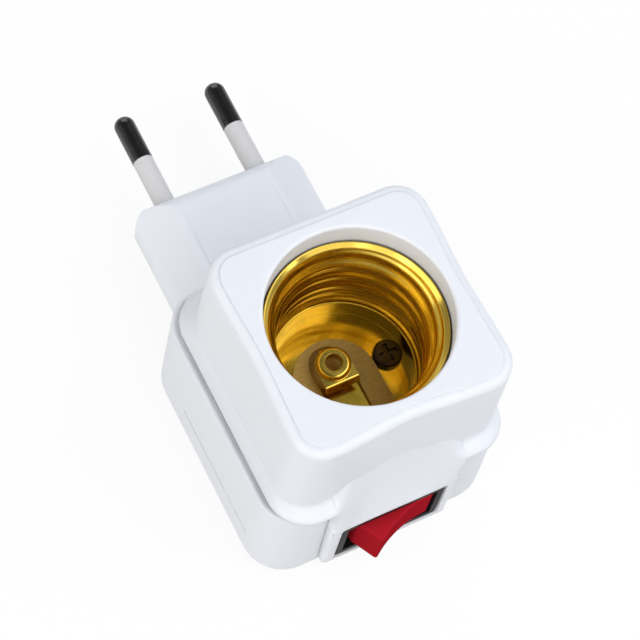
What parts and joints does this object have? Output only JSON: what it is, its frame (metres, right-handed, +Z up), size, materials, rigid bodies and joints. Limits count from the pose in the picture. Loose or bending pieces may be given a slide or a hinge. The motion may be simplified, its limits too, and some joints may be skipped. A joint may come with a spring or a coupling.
{
  "type": "plug-in lamp socket",
  "caption": "Plug-in lamp socket: a white box with a brass screw socket on top, a red rocker switch in front and a flat pin plug behind.",
  "frame": {"origin": "centre of the flat underside, below the socket axis", "axes": "+Z up along the socket axis, +Y the way the plug pins point, +X to the right seen from the switch"},
  "size_m": [0.0468, 0.0953, 0.0505],
  "materials": {
    "white_plastic": "satin",
    "red_plastic": "gloss",
    "black_plastic": "satin",
    "grey_plastic": "satin",
    "brass": "polished",
    "plated_brass": "polished",
    "olive_insulator": "matt",
    "dark_steel": "satin",
    "bright_steel": "polished",
    "contact_silver": "satin",
    "wire_brown": "satin",
    "wire_blue": "satin"
  },
  "bodies": {
    "housing": {"base_shell": "white_plastic", "socket_cover": "white_plastic", "socket_carrier": "olive_insulator", "screw_shell": "brass", "shell_base": "brass", "contact_insulator": "olive_insulator", "centre_contact": "brass", "contact_eyelet": "brass", "shell_screw": "dark_steel", "shell_terminal": "brass", "plug_block": "white_plastic", "pin_left": "plated_brass", "pin_right": "plated_brass", "sleeve_left": "grey_plastic", "sleeve_right": "grey_plastic", "switch_housing": "black_plastic", "terminal_common": "brass", "terminal_on": "brass", "fixed_button": "contact_silver", "wire_pin_to_switch": "wire_brown", "wire_switch_to_contact": "wire_brown", "wire_pin_to_shell": "wire_blue", "housing_screws": "bright_steel"},
    "rocker_body": {"rocker": "red_plastic", "switch_plunger": "bright_steel", "plunger_spring": "bright_steel", "contact_arm": "brass", "arm_button": "contact_silver"}
  },
  "joints": [
    {"name": "rocker_pivot", "type": "hinge", "parent": "housing", "child": "rocker_body", "pos_m": [0, -0.019, 0.01], "axis": [0, 0, 1], "range_deg": [-38, 0]}
  ]
}
